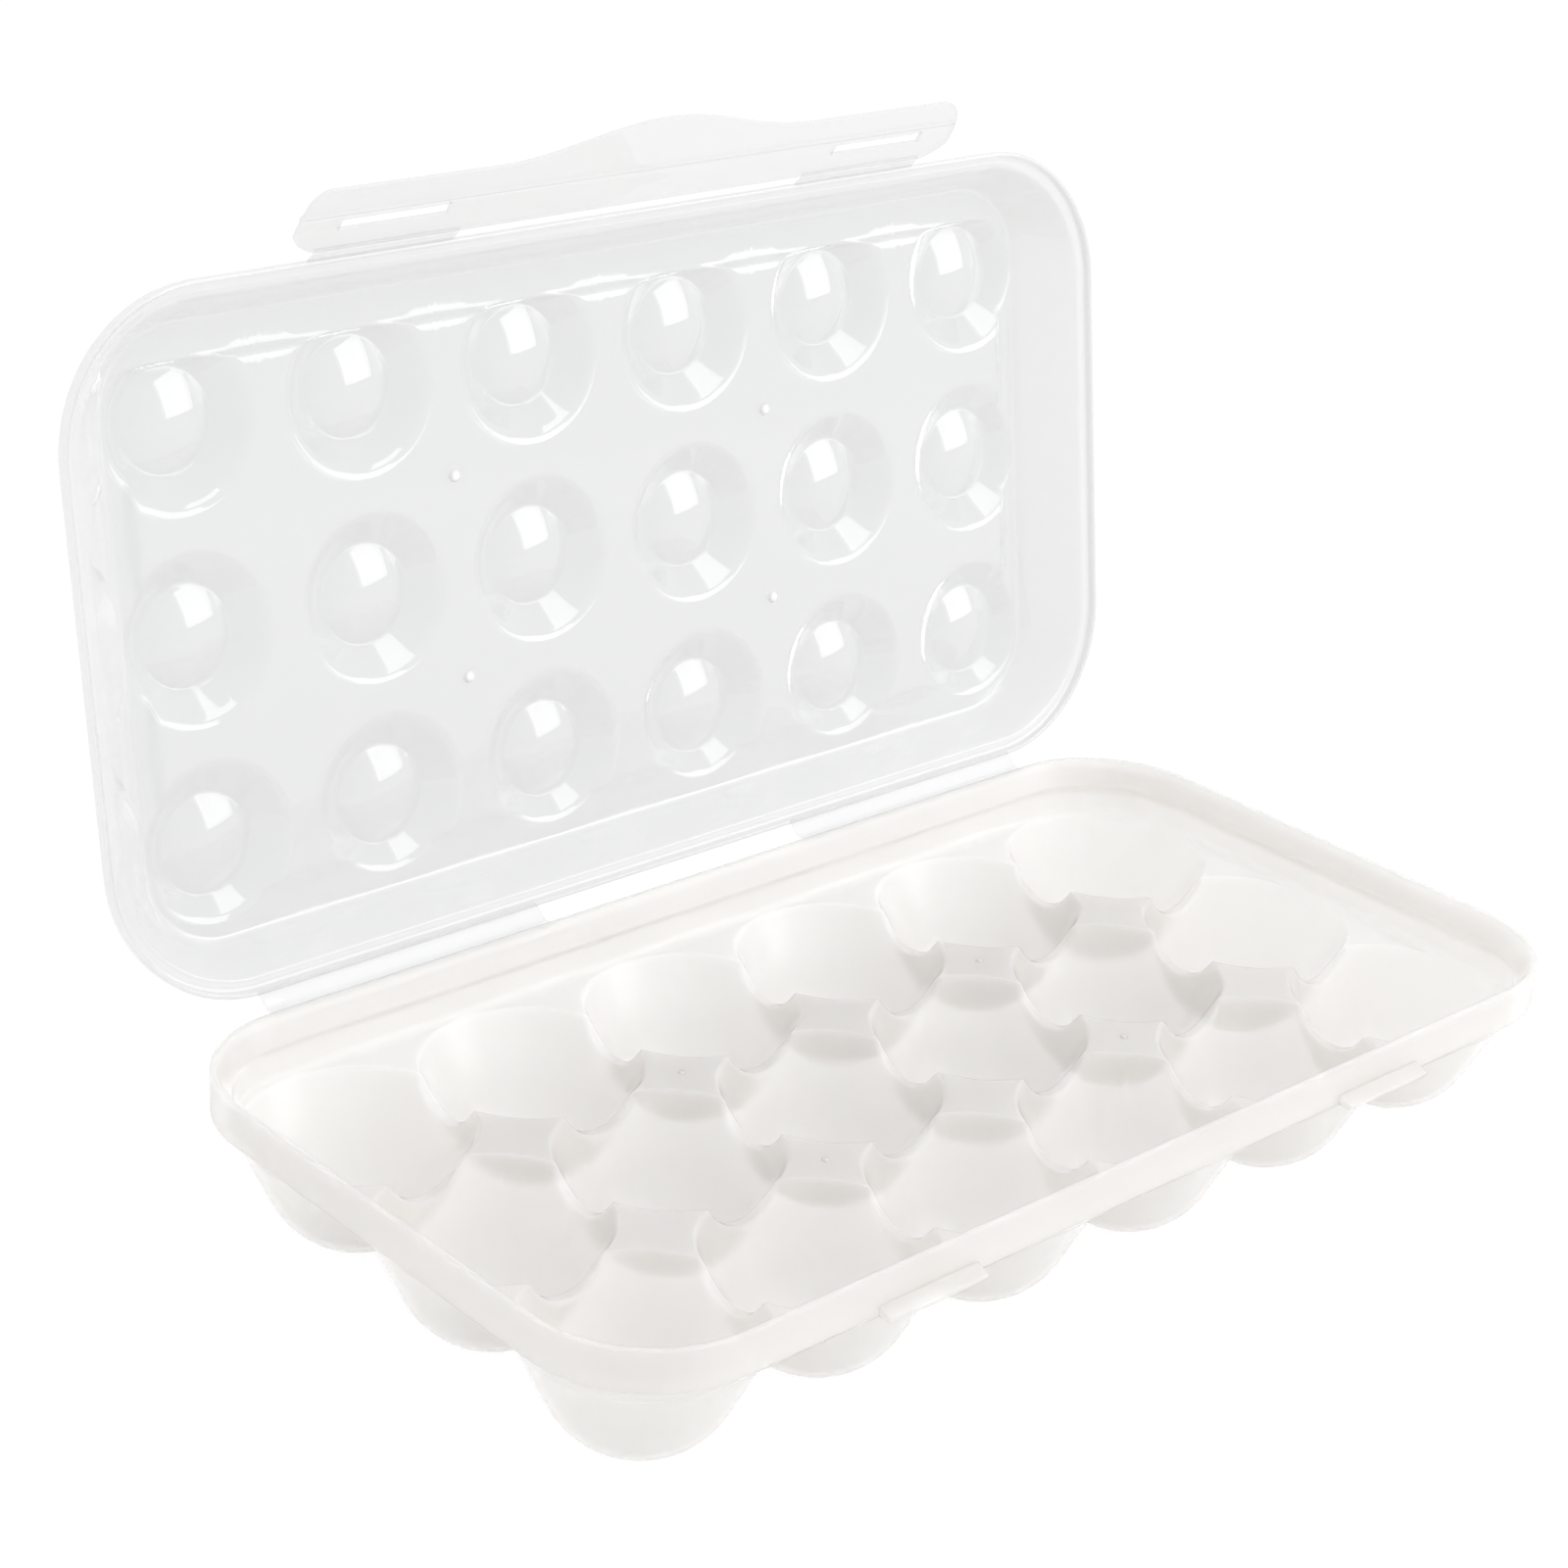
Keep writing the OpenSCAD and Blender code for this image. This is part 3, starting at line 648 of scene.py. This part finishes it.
def web(name, roots, line, near, length, nodes):
    """A bending strip from one body's root over the bending line to the other's; all (y, z) at rest."""
    path, p, q = web_path(roots[0], line, roots[1])
    along = np.gradient(path, axis=0)
    across = np.stack([-along[:, 1], along[:, 0]], 1) / np.linalg.norm(along, axis=1)[:, None]
    away = np.linalg.norm(path - line, axis=1)
    half = (ROOT_T + (WEB_T - ROOT_T) * np.exp(-(away / THIN_REACH) ** 2)) / 2
    xs = [near, near + 0.15, near + 0.5] + [near + length * k / 10 for k in range(1, 10)]
    xs += [near + length - 0.5, near + length - 0.15, near + length]
    rounding = [0.45, 0.9] + [1.0] * (len(xs) - 4) + [0.9, 0.45]
    points = []
    for side in (1, -1):
        for x, share in zip(xs, rounding):
            for (y, z), (cy, cz), t in zip(path, across, half * share):
                points.append((x, y + cy * t * side, z + cz * t * side))
    obj = make_mesh(name, points, grid_box(len(path), len(xs)), None, WEB)
    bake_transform(obj)
    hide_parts(*nodes)


def at_rest(placed, y, z):
    """Where a point of the closed part stands at rest."""
    return placed([(0, y, z)])[0][1:]


def build_webs():
    """Two strips at the rear and two at the clasp, rooted a little inside the walls that they join."""
    lid_root_z = LID_Z + 1.6
    rear_roots = (TRAY_HY - ROOT_SINK, HINGE_Z + 0.1), at_rest(in_lid, LID_HY - ROOT_SINK, lid_root_z)
    for side, near in (("left", -STRIP_NEAR - STRIP_LEN), ("right", STRIP_NEAR)):
        web(f"rear_web_{side}", rear_roots, (HINGE_Y, HINGE_Z), near, STRIP_LEN,
            [f"rear_hinge_{side}_tray_leaf", f"rear_hinge_{side}_lid_leaf"])
    clasp_roots = (at_rest(in_lid, -LID_HY + ROOT_SINK, lid_root_z),
                   at_rest(in_clasp, CLASP_Y, CLASP_Z - CLASP_ROOT - ROOT_SINK))
    for side, near in (("left", -CLASP_STRIP_NEAR - CLASP_STRIP_LEN), ("right", CLASP_STRIP_NEAR)):
        web(f"clasp_web_{side}", clasp_roots, at_rest(in_lid, CLASP_Y, CLASP_Z), near, CLASP_STRIP_LEN,
            [f"clasp_hinge_{side}_lid_leaf", f"clasp_hinge_{side}_clasp_leaf"])


# ---------------------------------------------------------------- catch lugs and gate pips
def build_lugs():
    """Two wedges on the front band that the closed clasp's windows snap over."""
    y = -TRAY_HY
    section = [(y + 0.6, BAND_Z + 0.25), (y, BAND_Z + 0.05), (y - 1.2, BAND_Z), (y - LUG_OUT + 0.35, BAND_Z),
               (y - LUG_OUT + 0.08, BAND_Z + 0.1), (y - LUG_OUT, BAND_Z + 0.4), (y - LUG_OUT + 0.05, BAND_Z + 0.75),
               (y - LUG_OUT + 0.4, BAND_Z + 1.1), (y - 0.5, BAND_Z + LUG_H - 0.1), (y - 0.1, BAND_Z + LUG_H + 0.15),
               (y + 0.6, BAND_Z + LUG_H + 0.3)]
    centre = np.mean(section, axis=0)
    points, faces = [], []
    # Share of the length and size of the section there: the ends are rounded
    steps = [(-0.5, 0.75), (-0.496, 0.92), (-0.485, 1.0), (-0.25, 1.0), (0, 1.0), (0.25, 1.0),
             (0.485, 1.0), (0.496, 0.92), (0.5, 0.75)]
    n = len(section)
    for side in (-1, 1):
        first = len(points)
        for t, grow in steps:
            for p in section:
                q = centre + (np.array(p) - centre) * grow
                points.append((side * LUG_X + t * LUG_LEN, q[0], q[1]))
        for k in range(len(steps) - 1):
            for i in range(n):
                a, b = first + k * n + i, first + k * n + (i + 1) % n
                faces.append((a, a + n, b + n, b))
        last = first + (len(steps) - 1) * n
        faces.append(tuple(first + i for i in range(n)))
        faces.append(tuple(last + i for i in range(n - 1, -1, -1)))
    make_mesh("catch_lugs", points, faces, "tray_body", MILKY)


def pips(name, size, base_z, up, body, material, placed):
    """Small domed gate marks on the second and on the last but one gap."""
    points, faces = [], []
    pip_r, pip_h = size
    turns = 20
    # Shares of the radius and of the height, from a foot sunk into the sheet to the tip
    profile = [(1.15, -0.1), (1.0, 0.12), (0.93, 0.45), (0.8, 0.75), (0.5, 0.95), (0.0, 1.0)]
    for x in (GAP_XS[1], GAP_XS[COLUMNS - 3]):
        for y in GAP_YS:
            first = len(points)
            for r, h in profile[:-1]:
                for k in range(turns):
                    a = 2 * math.pi * k / turns
                    points.append((x + pip_r * r * math.cos(a), y + pip_r * r * math.sin(a), base_z + up * pip_h * h))
            points.append((x, y, base_z + up * pip_h))
            for i in range(len(profile) - 2):
                for k in range(turns):
                    a, b = first + i * turns + k, first + i * turns + (k + 1) % turns
                    quad = (a, b, b + turns, a + turns)
                    faces.append(quad if up > 0 else quad[::-1])
            top = len(points) - 1
            for k in range(turns):
                a, b = top - turns + k, top - turns + (k + 1) % turns
                faces.append((a, b, top) if up > 0 else (b, a, top))
    return make_mesh(name, points, faces, body, material, placed)


def build_pips():
    """Gate pips on the tray's posts and under the lid's panel."""
    pips("tray_gate_pips", TRAY_PIP, DECK_Z, 1, "tray_body", MILKY, in_tray)
    pips("lid_gate_pips", LID_PIP, PANEL_Z, -1, "lid_body", GATE_MARK_AND_GLINT, in_lid)


# ---------------------------------------------------------------- white studio
WORLD_LIGHT, BACKGROUND = 0.92, 1.0
# Name, direction from the part, distance, width and height in metres, power in watts
LAMPS = [
    ("window", (0.633, -0.743, 0.31), 1.7, 0.95, 0.95, 7),
    ("skylight", (0.23, -0.59, 0.775), 3.2, 1.6, 0.9, 10),
]
LAMPS_AIM = Vector((0, 0.06, 0.1))
FLOOR_GLOW, FLOOR_GLOW_SHARE, FLOOR_HALF = 1.08, 0.85, 3.0


def background_rays(nodes, links):
    """1 for rays that see the background as it is: straight, mirrored or through clear plastic."""
    path = nodes.new("ShaderNodeLightPath")
    value = path.outputs["Is Camera Ray"]
    for ray in ("Is Glossy Ray", "Is Transmission Ray"):
        either = nodes.new("ShaderNodeMath")
        either.operation = "MAXIMUM"
        links.new(value, either.inputs[0])
        links.new(path.outputs[ray], either.inputs[1])
        value = either.outputs[0]
    return value


def studio():
    """White all round, a little dimmer as a light than as a background, and two soft lamps."""
    scene = bpy.context.scene
    world = scene.world or bpy.data.worlds.new("studio")
    scene.world = world
    world.use_nodes = True
    nodes, links = world.node_tree.nodes, world.node_tree.links
    back = nodes["Background"]
    back.inputs["Color"].default_value = (1, 1, 1, 1)
    strength = nodes.new("ShaderNodeMapRange")
    strength.inputs["To Min"].default_value = WORLD_LIGHT
    strength.inputs["To Max"].default_value = BACKGROUND
    links.new(background_rays(nodes, links), strength.inputs["Value"])
    links.new(strength.outputs["Result"], back.inputs["Strength"])
    for name, toward, distance, width, height, power in LAMPS:
        lamp = bpy.data.lights.new(name, "AREA")
        lamp.shape, lamp.size, lamp.size_y, lamp.energy = "RECTANGLE", width, height, power
        obj = bpy.data.objects.new(name, lamp)
        scene.collection.objects.link(obj)
        d = Vector(toward).normalized()
        obj.location = LAMPS_AIM + d * distance
        obj.rotation_mode = "QUATERNION"
        obj.rotation_quaternion = d.to_track_quat("Z", "Y")


def floor():
    """A pale floor that glows white to the camera, so that only a faint shadow is left on it."""
    mesh = bpy.data.meshes.new("floor")
    corners = [(-1, -1), (1, -1), (1, 1), (-1, 1)]
    mesh.from_pydata([(x * FLOOR_HALF, y * FLOOR_HALF, 0) for x, y in corners], [], [(0, 1, 2, 3)])
    obj = bpy.data.objects.new("floor", mesh)
    bpy.context.scene.collection.objects.link(obj)
    m = bpy.data.materials.new("white_floor")
    m.use_nodes = True
    nodes, links = m.node_tree.nodes, m.node_tree.links
    shader = nodes["Principled BSDF"]
    shader.inputs["Base Color"].default_value = (0.9, 0.9, 0.9, 1)
    shader.inputs["Roughness"].default_value = 0.9
    glow = nodes.new("ShaderNodeEmission")
    glow.inputs["Strength"].default_value = FLOOR_GLOW
    share = nodes.new("ShaderNodeMath")
    share.operation = "MULTIPLY"
    share.inputs[1].default_value = FLOOR_GLOW_SHARE
    mix = nodes.new("ShaderNodeMixShader")
    links.new(background_rays(nodes, links), share.inputs[0])
    links.new(share.outputs[0], mix.inputs["Fac"])
    links.new(shader.outputs[0], mix.inputs[1])
    links.new(glow.outputs[0], mix.inputs[2])
    links.new(mix.outputs[0], nodes["Material Output"].inputs["Surface"])
    mesh.materials.append(m)


# ---------------------------------------------------------------- camera, fitted to the photograph
CAMERA_AT = (-493.76, -468.28, 395.25)
CAMERA_LOOKS = (0.63291, 0.66050, -0.40394)
CAMERA_ROLL = 0.0668
FOCAL_PX, FRAME_PX, SENSOR_MM = 3400.4, 1600, 36.0


def camera():
    """The photograph's view; the place is in the CAD source's millimetres, before the part is centred."""
    data = bpy.data.cameras.new("camera")
    data.sensor_width = SENSOR_MM
    data.lens = FOCAL_PX / FRAME_PX * SENSOR_MM
    data.clip_start, data.clip_end = 0.05, 20
    look = Vector(CAMERA_LOOKS).normalized()
    side = look.cross(Vector((0, 0, 1))).normalized()
    up = side.cross(look)
    c, s = math.cos(CAMERA_ROLL), math.sin(CAMERA_ROLL)
    right, top = side * c + up * s, up * c - side * s
    turn = Matrix((right, top, -look)).transposed().to_4x4()
    x, y, z = CAMERA_AT
    obj = bpy.data.objects.new("camera", data)
    obj.matrix_world = Matrix.Translation(Vector((x, y - MIDDLE_Y, z)) * MM) @ turn
    bpy.context.scene.collection.objects.link(obj)
    bpy.context.scene.camera = obj


camera()
build_tray()
build_lid()
build_clasp()
build_webs()
build_lugs()
build_pips()
studio()
floor()
bpy.context.scene.view_settings.view_transform = "Standard"
